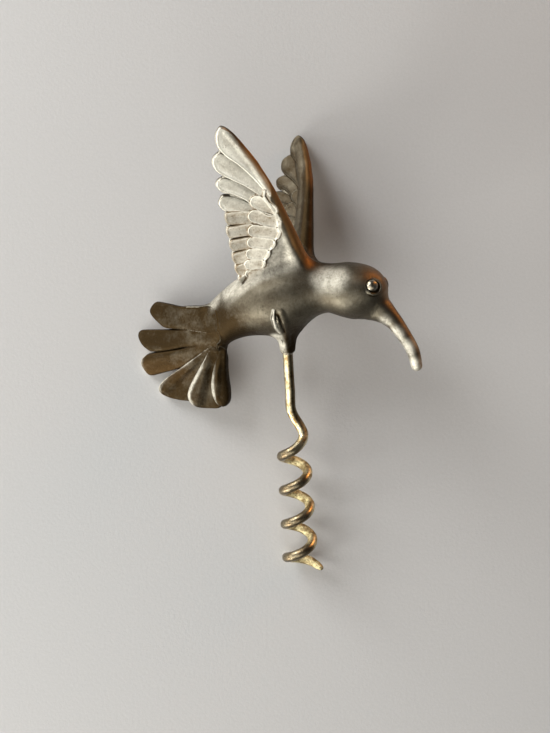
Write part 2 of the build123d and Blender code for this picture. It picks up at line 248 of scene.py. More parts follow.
# Tarnish and painted shade: the tarnish's strength everywhere, and what some regions add. These regions are
# painted shade: they darken the lower body towards the rump, the belly, the boss and the chin, and lighten
# the head a little. Each region is a product of ramps, given as the coordinate, where the ramp starts and
# where it ends.
TARNISH = 0.34
PAINTED_SHADE_REGIONS = (
    (0.66, (X, -3, -17), (Z, 17, 12)),
    (-0.10, (X, 9, 20)),
    (0.35, (Z, 11.5, 5), (X, 14, 6), (X, 2.2, 4.2)),
    (0.30, (Z, 11.5, 6), (X, -20, -14), (X, 0, -3)),
    (0.60, (X, 0.2, 1.2), (Z, 7, 4), (X, 8, 5)),
    (0.25, (Z, 13, 8), (X, 26, 20), (X, 9, 13)),
)
RUMP_REGION = ((X, -37, -30), (X, -19, -24), (Z, 15, 11))
# Where the wing's leading edge lies along the span, and the rim just ahead of it where a warm reflection is
# painted in copper colour. The band behind the leading edge is painted darker as shade.
EDGE_SPANS = (9, 16, 25, 34, 41)
LEADING_CHORDS = (0, -0.5, -1.4, -2.3, -1.9)
REFLECTION_RIM_CHORDS = (-0.9, -2, -3, -3, -2.2)

# ---- Sizes of the stage, in metres

FLOOR_LEVEL = -0.0001
FLOOR_SIZE = 4.0
WORLD_STRENGTH = 0.07
WORLD_COLOR = (0.80, 0.82, 0.85, 1)
CAMERA_PLACE = (0.00085, -0.00466, 0.26235)
SENSOR_WIDTH = 36.0  # millimetres
LENS = 43.2  # millimetres
LIGHT_TARGET = (0, 0, 0.02)
# Lights: name, place, size, power in watts, colour.
LIGHTS = (
    ("window_front_left", (-0.63, -0.63, 0.17), (0.45, 0.4), 9.0, (1.0, 0.98, 0.92)),
    ("window_back_left", (-0.63, 0.63, 0.16), (0.45, 0.4), 5.0, (1.0, 0.98, 0.92)),
    ("window_left", (-0.89, 0.0, 0.16), (0.45, 0.4), 4.2, (1.0, 0.98, 0.92)),
    ("high_back_left", (-0.55, 0.55, 0.45), (0.45, 0.45), 5.6, (0.98, 0.98, 0.97)),
    ("high_left", (-0.45, -0.35, 0.69), (0.5, 0.5), 2.8, (1.0, 0.98, 0.93)),
    ("high_front", (0.0, -0.58, 0.69), (0.45, 0.45), 1.5, (1.0, 0.98, 0.92)),
    ("warm_back_right", (0.63, 0.6, 0.18), (0.35, 0.25), 2.3, (1.0, 0.45, 0.13)),
)

# ---- The lying pose, as in the CAD model

HEADING = -0.5
BEAK_RAISED = 20.67
WINGS_RAISED = 11.73
worm_mount = next(mount for mount in frame["record"]["mounts"] if mount["name"] == "worm")
bird_origin = np.array(worm_mount["pos_m"])
bird_axes = np.array(
    Matrix.Rotation(math.radians(HEADING), 3, "Z")
    @ Matrix.Rotation(math.radians(-BEAK_RAISED), 3, "Y")
    @ Matrix.Rotation(math.radians(WINGS_RAISED - 90), 3, "X")
)


def to_table(points):
    """Points in the bird's frame, in millimetres, as points on the table, in metres."""
    return np.asarray(points, float) @ bird_axes.T * 0.001 + bird_origin


# ---- Field tools


def smooth_min(a, b, blend):
    """The smaller of two distances, with a fillet where they meet."""
    h = np.clip(0.5 + 0.5 * (b - a) / blend, 0.0, 1.0)
    return b + (a - b) * h - blend * h * (1.0 - h)


def ramp(low, high, value):
    """Rises smoothly from 0 at low to 1 at high."""
    t = np.clip((value - low) / (high - low), 0.0, 1.0)
    return t * t * (3.0 - 2.0 * t)


def bell(value, centre, width):
    return np.exp(-(((value - centre) / width) ** 2))


def curve_through(places, values):
    """A smooth function through the given values, as a natural cubic spline."""
    xs = np.array(places, float)
    ys = np.array(values, float)
    gaps = np.diff(xs)
    count = len(xs)
    matrix = np.eye(count)
    right = np.zeros(count)
    for i in range(1, count - 1):
        matrix[i, i - 1 : i + 2] = gaps[i - 1], 2 * (gaps[i - 1] + gaps[i]), gaps[i]
        right[i] = 6 * ((ys[i + 1] - ys[i]) / gaps[i] - (ys[i] - ys[i - 1]) / gaps[i - 1])
    bend = np.linalg.solve(matrix, right)

    def value(x):
        x = np.clip(x, xs[0], xs[-1])
        i = np.clip(np.searchsorted(xs, x) - 1, 0, count - 2)
        gap = gaps[i]
        before = (xs[i + 1] - x) / gap
        after = 1.0 - before
        cubic = (before**3 - before) * bend[i] + (after**3 - after) * bend[i + 1]
        return before * ys[i] + after * ys[i + 1] + cubic * gap * gap / 6

    return value


def lattice_noise(points, size, seed):
    """Smooth noise from -1 to 1 with lumps of about the given size."""
    scaled = points / size + seed * 17.31
    base = np.floor(scaled)
    part = scaled - base
    part = part * part * (3.0 - 2.0 * part)
    total = 0.0
    for corner in CORNERS:
        dot = (base + corner) @ (127.1, 311.7, 74.7) + seed * 53.7
        value = np.modf(np.abs(np.sin(dot) * 43758.5453))[0]
        total += value * np.abs(np.subtract(1, corner) - part).prod(axis=1)
    return total * 2.0 - 1.0


def rod(points, line):
    """Distance outside a rod along places that end in a radius, in space or in a plane."""
    best = np.full(len(points), FAR)
    for (*start, start_radius), (*end, end_radius) in zip(line[:-1], line[1:]):
        reach = np.subtract(end, start)
        offsets = points - start
        t = np.clip(offsets @ reach / (reach @ reach), 0.0, 1.0)
        radius = start_radius + (end_radius - start_radius) * t
        best = np.minimum(best, np.linalg.norm(offsets - t[:, None] * reach, axis=1) - radius)
    return best


def smooth_outline(points, steps=4):
    """A closed outline through the points, as a Catmull-Rom curve."""
    ring = np.array(points)
    before = np.roll(ring, 1, 0)
    after = np.roll(ring, -1, 0)
    beyond = np.roll(ring, -2, 0)
    parts = []
    for t in np.arange(steps) / steps:
        even = 2 * ring + (2 * before - 5 * ring + 4 * after - beyond) * t * t
        odd = (after - before) * t + (3 * ring - before - 3 * after + beyond) * t**3
        parts.append(0.5 * (even + odd))
    return np.stack(parts, 1).reshape(-1, 2)


def outline_distance(p, q, points):
    """Signed distance outside a closed smooth outline."""
    ring = smooth_outline(points)
    nearest = np.full(p.shape, FAR)
    inside = np.zeros(p.shape, bool)
    for (p0, q0), (p1, q1) in zip(ring, np.roll(ring, -1, 0)):
        dp, dq = p1 - p0, q1 - q0
        wp, wq = p - p0, q - q0
        t = np.clip((wp * dp + wq * dq) / (dp * dp + dq * dq), 0.0, 1.0)
        nearest = np.minimum(nearest, (wp - t * dp) ** 2 + (wq - t * dq) ** 2)
        if dq != 0:
            inside ^= ((q0 > q) != (q1 > q)) & (wp < wq * dp / dq)
    return np.where(inside, -1, 1) * np.sqrt(nearest)


def quill_place(p, q, quill, half_width):
    """Where a place lies across a quill, in half widths, and along it, from 0 to 1 at the tip."""
    (p0, q0), (p1, q1) = quill
    length = math.hypot(p1 - p0, q1 - q0)
    dp, dq = (p1 - p0) / length, (q1 - q0) / length
    across = (dp * (q - q0) - dq * (p - p0)) / half_width
    along = (dp * (p - p0) + dq * (q - q0)) / length
    return across, along


def blunt_strip(p, q, quill, half_width, tip_round):
    """Distance outside a strip along a quill with a round root and a blunt, gently curved tip."""
    (p0, q0), (p1, q1) = quill
    across, along = quill_place(p, q, quill, half_width)
    length = math.hypot(p1 - p0, q1 - q0)
    behind = np.maximum(-along * length, 0.0)
    strip = np.hypot(across * half_width, behind) - half_width
    back = tip_round / length
    centre_p, centre_q = p1 - (p1 - p0) * back, q1 - (q1 - q0) * back
    disc = np.hypot(p - centre_p, q - centre_q) - tip_round
    disc = np.where(along > 1.0 - back, disc, disc.min())
    return -smooth_min(-strip, -disc, 0.7)


def folded(p, side):
    """The places mirrored to one side of the bird: 1 is its left, -1 its right."""
    return np.column_stack((p[:, 0], side * np.abs(p[:, 1]), p[:, 2]))


def region(places, ramps):
    """Product of ramps along single coordinates."""
    share = np.ones(len(places))
    for axis, start, end in ramps:
        share *= ramp(start, end, places[:, axis])
    return share


def oval(offsets, radii):
    """Nearly the distance outside an ellipse or an ellipsoid."""
    ratio = np.linalg.norm(offsets / radii, axis=1) + 1e-6
    slope = np.linalg.norm(offsets / radii**2, axis=1) + 1e-6
    return ratio * (ratio - 1.0) / slope


def rounded_height(height, edge, rounding):
    """A feather's half thickness, rounded off towards its edge and falling steeply outside it."""
    inside = np.clip(edge + rounding, 0.0, rounding)
    return height - rounding + np.sqrt(rounding**2 - inside**2) - 6.0 * np.maximum(edge, 0.0)


def slab(edge, height, rounding):
    """Distance to a plate from the distance outside its outline and the height above its face."""
    a = edge + rounding
    b = height + rounding
    return np.minimum(np.maximum(a, b), 0.0) + np.hypot(np.maximum(a, 0.0), np.maximum(b, 0.0)) - rounding


def chart(low, high, relief):
    """Samples a relief, the distance outside its outline and its half thickness, on a fine flat grid."""
    p = np.arange(low[0], high[0], CHART_STEP)
    q = np.arange(low[1], high[1], CHART_STEP)
    grid_p, grid_q = np.meshgrid(p, q, indexing="ij")
    edge, height = (part.reshape(grid_p.shape) for part in relief(grid_p.ravel(), grid_q.ravel()))
    slope = np.minimum(np.hypot(*np.gradient(height, CHART_STEP)), 4.0)
    maps = np.stack((edge, height, np.sqrt(1.0 + slope**2)))

    def sample(a, b):
        u = np.clip((a - low[0]) / CHART_STEP, 0, len(p) - 1.001)
        v = np.clip((b - low[1]) / CHART_STEP, 0, len(q) - 1.001)
        i, j = u.astype(int), v.astype(int)
        u, v = u - i, v - j
        return (
            maps[:, i, j] * (1 - u) * (1 - v)
            + maps[:, i + 1, j] * u * (1 - v)
            + maps[:, i, j + 1] * (1 - u) * v
            + maps[:, i + 1, j + 1] * u * v
        )

    return sample


# ---- Wings


def wing_relief(span, chord):
    """Outline and half thickness of a wing's feathers: each one's trailing side lies over the next."""
    places = np.column_stack((span, chord))
    swell = ROOT_SWELL * np.clip(1.0 - span / SWELL_SPAN, 0.0, 1.0)
    edges = []
    height = np.full(span.shape, NO_HEIGHT)
    for outline, quill, half_width in LONG_FEATHERS:
        edge = outline_distance(span, chord, outline)
        side = np.clip(quill_place(span, chord, quill, half_width)[0], -1.2, 1.2)
        rim = 0.12 * bell(edge, -0.3, 0.26) * ramp(-0.2, 0.5, side)
        dish = 0.12 * bell(side, 0.25, 0.5) * ramp(0.3, 1.5, -edge)
        top = 0.80 + 0.19 * side + rim - dish
        height = np.maximum(height, rounded_height(top + swell, edge, 0.3))
        edges.append(edge - 0.34 * ramp(-0.1, 0.7, side))
    for *quill, half_width in SHORT_FEATHERS:
        edge = blunt_strip(span, chord, quill, half_width, SHORT_TIP_ROUND)
        side = np.clip(quill_place(span, chord, quill, half_width)[0], -1.2, 1.2)
        rim = 0.10 * bell(edge, -0.35, 0.3)
        top = 0.82 - 0.10 * side + rim - 0.10 * bell(side, 0.0, 0.5)
        height = np.maximum(height, rounded_height(top + swell, edge, 0.34))
        edges.append(edge - 0.2)
    for *quill, half_width in COVERTS:
        edge = rod(places, tuple((*place, half_width) for place in quill))
        height = np.maximum(height, np.where(edge < 0.25, 0.8 + swell, NO_HEIGHT))
        rim = 0.17 * bell(edge, -0.22, 0.2)
        top = 0.98 + rim - 0.08 * ramp(0.4, 1.3, -edge)
        height = np.maximum(height, rounded_height(top + swell, edge, 0.3))
        edges.append(edge)
    height = np.maximum(height, rounded_height(1.16 + swell, rod(places, PLATEAU_RIDGE), 0.3))
    outline = np.full(span.shape, FAR)
    for edge in edges:
        outline = smooth_min(outline, edge, 0.9)
    height = np.maximum(height, np.where(outline < 0, 0.48 + swell, NO_HEIGHT))
    return outline, height


wing_chart = chart((-2.0, -8.0), (49.0, 21.0), wing_relief)
wing_axes = np.array((WING_SPAN, WING_CHORD, WING_NORMAL))


def wing_coordinates(p):
    """Span, chord and outward height of points, for whichever wing is on their side."""
    return ((folded(p, -1) - SHOULDER) @ wing_axes.T).T


def wing_arm_field(span, chord, height):
    """Distance to the arm, the web behind it and the roll over both."""
    arm = rod(np.column_stack((span, chord, height * 1.1)), ARM_LINE)
    edge = rod(np.column_stack((span, chord)), ARM_WEB)
    thickness = np.interp(span, (-4.0, 3.0, 8.0, 14.0, 24.0), (3.2, 1.45, 0.9, 0.55, 0.4))
    arm = smooth_min(arm, slab(edge, np.abs(height) - thickness, 0.5), 1.2)
    flatness = np.where(height < 0, 1.9, 3.4)
    roll = rod(np.column_stack((span, chord, height * flatness)), ARM_ROLL) / flatness
    return smooth_min(arm, roll, 0.6)


# ---- Tail


def tail_relief(x, z):
    """Outline and half thickness of the tail's feathers, with soft rolls along their upper edges."""
    outline = np.full(x.shape, FAR)
    height = np.full(x.shape, NO_HEIGHT)
    sunk = 1.6 * ramp(-26.0, -21.0, x) * ramp(1.0, 4.0, z)
    sunk += ramp(-26.0, -22.0, x) * ramp(-3.5, 2.5, z)
    sunk += 0.35 * ramp(-21.5, -19.5, x) * ramp(-4.0, 2.0, z)
    for feather, (turn, roll, width, dished, raised, rounding) in zip(TAIL_FEATHERS, TAIL_ROLLS):
        points, quill, half_width = feather
        edge = outline_distance(x, z, points) - 0.25
        across, along = quill_place(x, z, quill, half_width)
        across /= 0.4 + 0.6 * np.clip(along, 0.0, 1.0)
        side = np.clip(across * turn, -1.2, 1.2)
        full = ramp(0.12, 0.5, along)
        swelling = roll * full * (1.0 - (1.0 - np.clip(-edge / width, 0.0, 1.0)) ** 2)
        swelling *= 1.0 - dished * ramp(0.45, -0.35, side)
        root = 0.6 * ramp(0.6, 0.0, along)
        top = 0.95 + raised * full + 0.2 * side + root + swelling - sunk
        height = np.maximum(height, rounded_height(top, edge, rounding))
        outline = np.minimum(outline, edge)
    return outline, height


tail_chart = chart((-50.0, -20.5), (-15.0, 17.5), tail_relief)


def tail_field(p, field):
    """Adds the tail's root and its feathers, which are thinner on the side that lies on the table."""
    edge, half, slope = tail_chart(p[:, 0], p[:, 2])
    resting = 1.05 - 0.5 * ramp(-38.0, -43.0, p[:, 0]) * ramp(0.0, -4.0, p[:, 2])
    half = np.where(p[:, 1] > 0, np.minimum(half, resting), half)
    feathers = slab(edge, (np.abs(p[:, 1]) - half) / slope, 0.3)
    return smooth_min(field, smooth_min(feathers, rod(p, TAIL_ROOT), TAIL_ROOT_BLEND), TAIL_BLEND)


# ---- Body, head and beak

section_x, *section_sizes = zip(*BODY_SECTIONS)
body_centre, body_width, body_height = (curve_through(section_x, sizes) for sizes in section_sizes)
boss_radius = curve_through(*zip(*BOSS_LINE))

beak_steps = np.linspace(0, len(BEAK_LINE) - 1, 30)
beak_x, beak_z, beak_radius = (
    curve_through(range(len(BEAK_LINE)), values)(beak_steps) for values in zip(*BEAK_LINE)
)
beak_rod = np.column_stack((beak_x, np.zeros(len(beak_steps)), beak_z, beak_radius))
eye_axis = np.array(EYE_NORMAL) / np.linalg.norm(EYE_NORMAL)


def torso_field(p):
    """Body, head and beak, without details."""
    x, y, z = p.T
    offsets = np.column_stack((y, z - body_centre(x)))
    tube = oval(offsets, np.column_stack((body_width(x), body_height(x))))
    tube = slab(tube, np.maximum(section_x[0] - x, x - section_x[-1]), 1.0)
    head = oval(p - HEAD_CENTRE, np.array(HEAD_RADII))
    beak = smooth_min(rod(p, beak_rod), rod(p, CHIN_LINE), 1.0)
    return smooth_min(smooth_min(tube, head, HEAD_BLEND), beak, BEAK_BLEND)


def boss_field(p):
    """The boss that grips the worm, with an uneven mouth."""
    x, y, z = p.T
    turn = np.arctan2(y, x)
    mouth = BOSS_LINE[0][0] + 0.2 * np.sin(2.0 * turn + 0.6) + 0.12 * np.sin(5.0 * turn + 1.0)
    radial = np.hypot(x, y) - boss_radius(z) - 0.07 * np.sin(4.0 * turn + z)
    return np.maximum(np.maximum(radial * 0.8, mouth - z), z - BOSS_TOP)


def eye_field(p, field):
    """Adds the raised ring round each eye and the seat that the bead sits in."""
    mirrored = folded(p, -1) - EYE_PLACE
    up = mirrored @ eye_axis
    out = np.linalg.norm(mirrored - up[:, None] * eye_axis, axis=1)
    behind = np.clip((mirrored @ (-0.84, 0.0, 0.55)) / EYE_RING_RADIUS + 0.3, 0.0, 1.0)
    shifted = mirrored - (0.42, 0.0, -0.28)
    around = np.linalg.norm(shifted - (shifted @ eye_axis)[:, None] * eye_axis, axis=1)
    sunk = -0.05 + 0.8 * behind + 0.35 * (p[:, 1] > 0)
    ring = np.hypot(around - EYE_RING_RADIUS, up + sunk) - EYE_RING_TUBE
    seat = np.maximum(out - EYE_RADIUS - 0.14, -0.55 - up)
    return np.maximum(smooth_min(field, ring, EYE_RING_BLEND), -seat)


def leg_field(p, field):
    """Adds the tucked-up legs and the ridge of the boss, and cuts the groove and the slit."""
    q = folded(p, -1)
    field = smooth_min(field, rod(q, BOSS_RIDGE), 1.0)
    field = smooth_min(field, rod(q, LEG_FACE), 0.4)
    field = smooth_min(field, rod(q, LEG_LINE), 0.3)
    field = -smooth_min(-field, rod(q, LEG_GROOVE), 0.25)
    return np.maximum(field, -rod(q, BOSS_SLIT))


def wing_field(p, field):
    """Adds the wings."""
    span, chord, height = wing_coordinates(p)
    field = smooth_min(field, wing_arm_field(span, chord, height), ARM_BLEND)
    edge, half, slope = wing_chart(span, chord)
    feathers = np.where(span > -1.0, slab(edge, (np.abs(height) - half) / slope, 0.2), 9.0)
    return smooth_min(field, feathers, FEATHER_BLEND)


def bird_field(p):
    """Distance to the whole casting, with all its pieces as one surface."""
    x, z = p[:, 0], p[:, 2]
    span, chord, height = wing_coordinates(p)
    near_wing = (z > 12.0) & (span > -9.0) & (np.abs(height) < 9.0) & (chord > -9.0) & (chord < 24.0)
    field = smooth_min(torso_field(p), boss_field(p), BOSS_BLEND)
    parts = (
        ((z < 14.0) & (z > -2.0) & (np.abs(x) < 5.0), leg_field),
        (near_wing, wing_field),
        (x < -14.0, tail_field),
        (x > 18.0, eye_field),
    )
    for near, change in parts:
        if near.any():
            field[near] = change(p[near], field[near])
    return field


def lumps(p):
    """How far the hand-finished surface stands off the smooth one."""
    q = folded(p, 1)
    x, y, z = q.T
    total = 0.04 * lattice_noise(q, 6.0, 1) + 0.022 * lattice_noise(q, 1.9, 2)
    keel = np.interp(x, (5, 26, 37), (15, 11, -4))
    underside = ramp(-6.0, 6.0, x) * ramp(1.0, -2.5, z - keel)
    flash = bell(y, 0.0, 0.28) * underside * (0.17 + 0.13 * lattice_noise(q, 0.9, 3))
    return total + flash


def cast_field(p):
    return bird_field(p) - lumps(p)


# ---- Meshing


def sample_grid(field, low, high, step):
    """Field values on a grid, exact near the surface and only the right sign elsewhere."""
    low = np.array(low, float)
    blocks = np.ceil((np.array(high) - low) / (step * BLOCK)).astype(int)
    centres = [low[i] + (np.arange(blocks[i]) + 0.5) * step * BLOCK for i in range(3)]
    mesh = np.stack(np.meshgrid(*centres, indexing="ij"), -1).reshape(-1, 3)
    coarse = field(mesh).reshape(blocks)
    near = np.abs(coarse) < step * BLOCK * 1.5
    wanted = np.zeros(blocks * BLOCK + 1, bool)
    grown = near.repeat(BLOCK, 0).repeat(BLOCK, 1).repeat(BLOCK, 2)
    size_x, size_y, size_z = grown.shape
    for i, j, k in CORNERS:
        wanted[i : i + size_x, j : j + size_y, k : k + size_z] |= grown
    nearest = [np.minimum(np.arange(wanted.shape[i]) // BLOCK, blocks[i] - 1) for i in range(3)]
    values = np.sign(coarse)[np.ix_(*nearest)] * 10.0
    places = np.argwhere(wanted)
    chunks = np.array_split(places, 1 + len(places) // CHUNK)
    values[wanted] = np.concatenate([field(low + chunk * step) for chunk in chunks])
    return values


def surface_nets(values, low, step):
    """Vertices and quads of the zero surface of a grid of values."""
    inside = values < 0
    cells = np.array(values.shape) - 1
    count = np.zeros(cells, np.uint8)
    for i, j, k in CORNERS:
        count += inside[i : i + cells[0], j : j + cells[1], k : k + cells[2]]
    active = (count > 0) & (count < 8)
    number = np.full(cells, -1, np.int32)
    places = np.argwhere(active)
    number[active] = np.arange(len(places))
    total = np.zeros((len(places), 3))
    crossings = np.zeros(len(places))
    for corner in CORNERS:
        for axis in range(3):
            if corner[axis]:
                continue
            other = list(corner)
            other[axis] = 1
            first = values[tuple((places + corner).T)]
            second = values[tuple((places + other).T)]
            crossed = (first < 0) != (second < 0)
            spot = np.tile(np.array(corner, float), (len(places), 1))
            spot[:, axis] += np.where(crossed, first / np.where(crossed, first - second, 1.0), 0.0)
            total += spot * crossed[:, None]
            crossings += crossed
    vertices = np.array(low) + (places + total / crossings[:, None]) * step
    quads = []
    for axis in range(3):
        u, v = (axis + 1) % 3, (axis + 2) % 3
        first = np.take(inside, range(0, values.shape[axis] - 1), axis)
        second = np.take(inside, range(1, values.shape[axis]), axis)
        edge = np.argwhere(first != second)
        edge_u, edge_v = edge[:, u], edge[:, v]
        edge = edge[(edge_u > 0) & (edge_v > 0) & (edge_u < cells[u]) & (edge_v < cells[v])]
        step_u, step_v = np.eye(3, dtype=int)[[u, v]]
        ring = [number[tuple((edge - back).T)] for back in (0 * step_u, step_u, step_u + step_v, step_v)]
        ring = np.stack(ring, 1)
        leaving = first[tuple(edge.T)]
        ring[~leaving] = ring[~leaving][:, ::-1]
        quads.append(ring)
    return vertices, np.vstack(quads)


def gradient(field, p, reach=0.05):
    result = np.empty_like(p)
    for axis in range(3):
        shift = np.zeros(3)
        shift[axis] = reach
        result[:, axis] = (field(p + shift) - field(p - shift)) / (2 * reach)
    return result


def unit(vectors):
    return vectors / (np.linalg.norm(vectors, axis=-1, keepdims=True) + 1e-12)


def settle(field, p, step):
    """Moves vertices onto the zero surface."""
    for _ in range(2):
        slope = gradient(field, p)
        move = -field(p)[:, None] * slope / ((slope**2).sum(1) + 1e-3)[:, None]
        length = np.linalg.norm(move, axis=1)[:, None]
        p = p + move * np.minimum(1.0, 0.6 * step / (length + 1e-9))
    return p


def sculpt(box, step, axes=None, origin=(0.0, 0.0, 0.0)):
    """Meshes the casting inside a box that is set along the given axes."""
    axes = np.eye(3) if axes is None else axes

    def local_field(q):
        return bird_field(q @ axes + origin)

    values = sample_grid(local_field, *box, step)
    vertices, quads = surface_nets(values, box[0], step)
    return settle(cast_field, vertices @ axes + origin, step), quads


def cut_mesh(bm, normal, point, chosen):
    """Cuts the chosen faces with a plane and drops those on its positive side."""
    faces = [face for face in bm.faces if chosen(face.calc_center_median())]
    edges = {edge for face in faces for edge in face.edges}
    verts = {vert for face in faces for vert in face.verts}
    geometry = [*faces, *edges, *verts]
    bmesh.ops.bisect_plane(bm, geom=geometry, plane_co=point, plane_no=normal, dist=1e-6)
    normal = Vector(normal)
    point = Vector(point)
    lost = []
    for face in bm.faces:
        centre = face.calc_center_median()
        if chosen(centre) and (centre - point).dot(normal) > 0:
            lost.append(face)
    bmesh.ops.delete(bm, geom=lost, context="FACES")


def close_holes(bm):
    """Closes every hole with flat triangles, marked as cap faces."""
    cap_layer = bm.faces.layers.int["cap"]
    rims = [edge for edge in bm.edges if len(edge.link_faces) == 1]
    made = bmesh.ops.holes_fill(bm, edges=rims, sides=0)["faces"]
    made = bmesh.ops.triangulate(bm, faces=made)["faces"]
    for face in made:
        face[cap_layer] = 1
        face.normal_update()


def store(bm, mesh):
    """Turns every face outwards and puts the result into the mesh."""
    bmesh.ops.recalc_face_normals(bm, faces=bm.faces)
    bm.to_mesh(mesh)
    bm.free()


def cast_piece(name, vertices, quads, cuts, replaced):
    """One casting as an object: cut at its joints, with smooth normals from the field."""
    mesh = bpy.data.meshes.new(name)
    mesh.from_pydata(vertices.tolist(), [], quads.tolist())
    bm = bmesh.new()
    bm.from_mesh(mesh)
    bm.faces.layers.int.new("cap")
    for normal, point, chosen in cuts:
        cut_mesh(bm, normal, point, chosen)
    close_holes(bm)
    store(bm, mesh)
    places = np.empty(len(mesh.vertices) * 3)
    mesh.vertices.foreach_get("co", places)
    finish_mesh(mesh, places.reshape(-1, 3))
    return add_piece(name, mesh, replaced)


def finish_mesh(mesh, places):
    """Lays a mesh on the table and gives it normals and the values that its material reads."""
    cap = np.empty(len(mesh.polygons), np.int32)
    mesh.attributes["cap"].data.foreach_get("value", cap)
    normals = unit(gradient(cast_field, places))
    for key, values in surface_values(places, normals).items():
        layer = mesh.attributes.new(key, "FLOAT", "POINT")
        layer.data.foreach_set("value", values.astype(np.float32))
    mesh.vertices.foreach_set("co", to_table(places).ravel())
    mesh.update()
    corner_vertex = np.empty(len(mesh.loops), np.int32)
    mesh.loops.foreach_get("vertex_index", corner_vertex)
    corner_normals = (normals @ bird_axes.T)[corner_vertex]
    flat = np.empty(len(mesh.polygons) * 3)
    mesh.polygons.foreach_get("normal", flat)
    sizes = np.empty(len(mesh.polygons), np.int32)
    mesh.polygons.foreach_get("loop_total", sizes)
    corner_face = np.repeat(np.arange(len(sizes)), sizes)
    on_cap = cap[corner_face] == 1
    corner_normals[on_cap] = flat.reshape(-1, 3)[corner_face][on_cap]
    mesh.polygons.foreach_set("use_smooth", [True] * len(mesh.polygons))
    mesh.normals_split_custom_set(corner_normals.tolist())


def add_piece(name, mesh, replaced):
    piece = bpy.data.objects.new(name, mesh)
    bpy.context.scene.collection.objects.link(piece)
    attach(piece, "root")
    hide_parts(*replaced)
    return piece


def wing_values(p):
    """How far places lie on a wing, on its leading edge, on that edge's rim and on the feathered face."""
    span, chord, height = wing_coordinates(p)
    edge, half, _ = wing_chart(span, chord)
    near = ramp(5.0, 3.0, np.abs(height))
    outer_face = ramp(0.6, -0.2, edge) * ramp(0.55, 0.85, half) * (height > 0)
    return {
        "span": span,
        "outward": height > 0,
        "thick": half - ROOT_SWELL * np.clip(1.0 - span / SWELL_SPAN, 0.0, 1.0),
        "on_wing": ramp(-1.5, 5.0, span) * near,
        "feathered": ramp(4.0, 7.0, span) * near * outer_face,
        "leading": ramp(1.0, -0.7, chord - np.interp(span, EDGE_SPANS, LEADING_CHORDS)),
        "rim": ramp(0.6, -0.4, chord - np.interp(span, EDGE_SPANS, REFLECTION_RIM_CHORDS)),
    }


def tarnish_and_shade_value(p, wing):
    """How brown the metal is, before rubbing: tarnish, with painted shade on the lower body, on the wings'
    inner faces, along the band behind the leading edge and between the feathers' raised rims.
    """
    total = TARNISH + sum(amount * region(p, ramps) for amount, *ramps in PAINTED_SHADE_REGIONS)
    on_wing, feathered = wing["on_wing"], wing["feathered"]
    # Painted shade on the wings' inner faces and on the band behind the leading edge.
    total = total * (1 - on_wing) + on_wing * (0.3 + 0.4 * ~wing["outward"] + 0.35 * wing["leading"])
    # Painted shade between the feathers' raised rims; the feathered face is also darker towards the wing's
    # root.
    raised = ramp(0.78, 1.06, wing["thick"])
    inner = ramp(30.0, 22.0, wing["span"])
    face = -0.12 + 0.42 * inner + (0.10 + 0.28 * inner) * (1 - raised)
    total = total * (1 - feathered) + feathered * face
    return total - 0.16 * region(p, RUMP_REGION)


def rubbed_and_highlight_value(p, normals, wing, worn):
    """How far handling has rubbed the metal bright, and where highlights are painted: on the lower tail's
    slopes that face backwards, the tail's edges, the wing's smooth arm, the leg's ridge and the listed
    spots.
    """
    smooth_wing = wing["on_wing"] * wing["outward"] * (1 - wing["leading"]) * (1 - wing["feathered"])
    # Painted highlight on the lower tail's slopes that face backwards.
    facing = ramp(0.1, 0.5, -normals[:, 0]) * region(p, ((X, -20.5, -23.0), (Z, 2.0, 0.0)))
    tail_edges = ramp(0.35, 0.8, worn) * region(p, ((X, -21.0, -27.0),))
    # Painted highlight along the leg's ridge.
    leg = ramp(0.45, 0.1, rod(p + (0.3, 0.0, 0.0), LEG_LINE))
    total = np.maximum.reduce((0.95 * facing, 0.5 * tail_edges, 0.6 * smooth_wing, 0.8 * leg))
    for *centre, reach, strength in RUBBED_AND_HIGHLIGHT_SPOTS:
        distance = np.linalg.norm(folded(p, 1) - centre, axis=1)
        total = np.maximum(total, strength * ramp(reach, 0.3 * reach, distance))
    return total


def warm_reflection_value(p, normals, wing):
    """How strongly a warm reflection is painted in copper colour: on the wings' leading rims, the top of
    the head, the tail and the beak's forward-facing side.
    """
    span = wing["span"]
    rim = wing["on_wing"] * wing["rim"]
    near_rim = rim * ramp(44.0, 36.0, span)
    far_rim = 0.35 * rim * ramp(22.0, 30.0, span)
    head = 0.25 * region(p, ((X, 20.0, 25.0), (Z, 17.5, 20.5)))
    tail = 0.05 * region(p, ((X, -27.0, -33.0),)) * ramp(6.0, 0.0, np.abs(p[:, 2] + 6.0))
    # Painted warm reflection on the beak's side that faces forwards.
    beak = 0.35 * ramp(0.45, 0.95, normals[:, 0]) * region(p, ((X, 27.0, 29.0),))
    return np.maximum.reduce((np.where(p[:, 1] > 0, far_rim, near_rim), head, tail, beak))


def surface_values(p, normals):
    """What a casting's material reads at each place."""
    # Painted shade: darker where nearby surfaces hem a place in, as in hollows, creases and gaps between
    # parts.
    hollow_shade = np.zeros(len(p))
    for depth, share in ((0.3, 0.45), (0.8, 0.35), (2.2, 0.2)):
        hollow_shade += share * np.clip(1.0 - cast_field(p + normals * depth) / depth, 0.0, 1.0)
    worn = np.zeros(len(p))
    for depth, share in ((0.25, 0.5), (0.6, 0.5)):
        worn += share * np.clip(1.0 + cast_field(p - normals * depth) / depth, 0.0, 1.0)
    wing = wing_values(p)
    rubbed_and_highlight = rubbed_and_highlight_value(p, normals, wing, worn)
    return {
        "hollow_shade": hollow_shade,
        "worn": worn,
        "grain": wing["feathered"],
        "tarnish_and_shade": tarnish_and_shade_value(p, wing) * (1 - 0.85 * rubbed_and_highlight),
        "rubbed_and_highlight": rubbed_and_highlight,
        "warm_reflection": warm_reflection_value(p, normals, wing),
    }


# ---- Castings

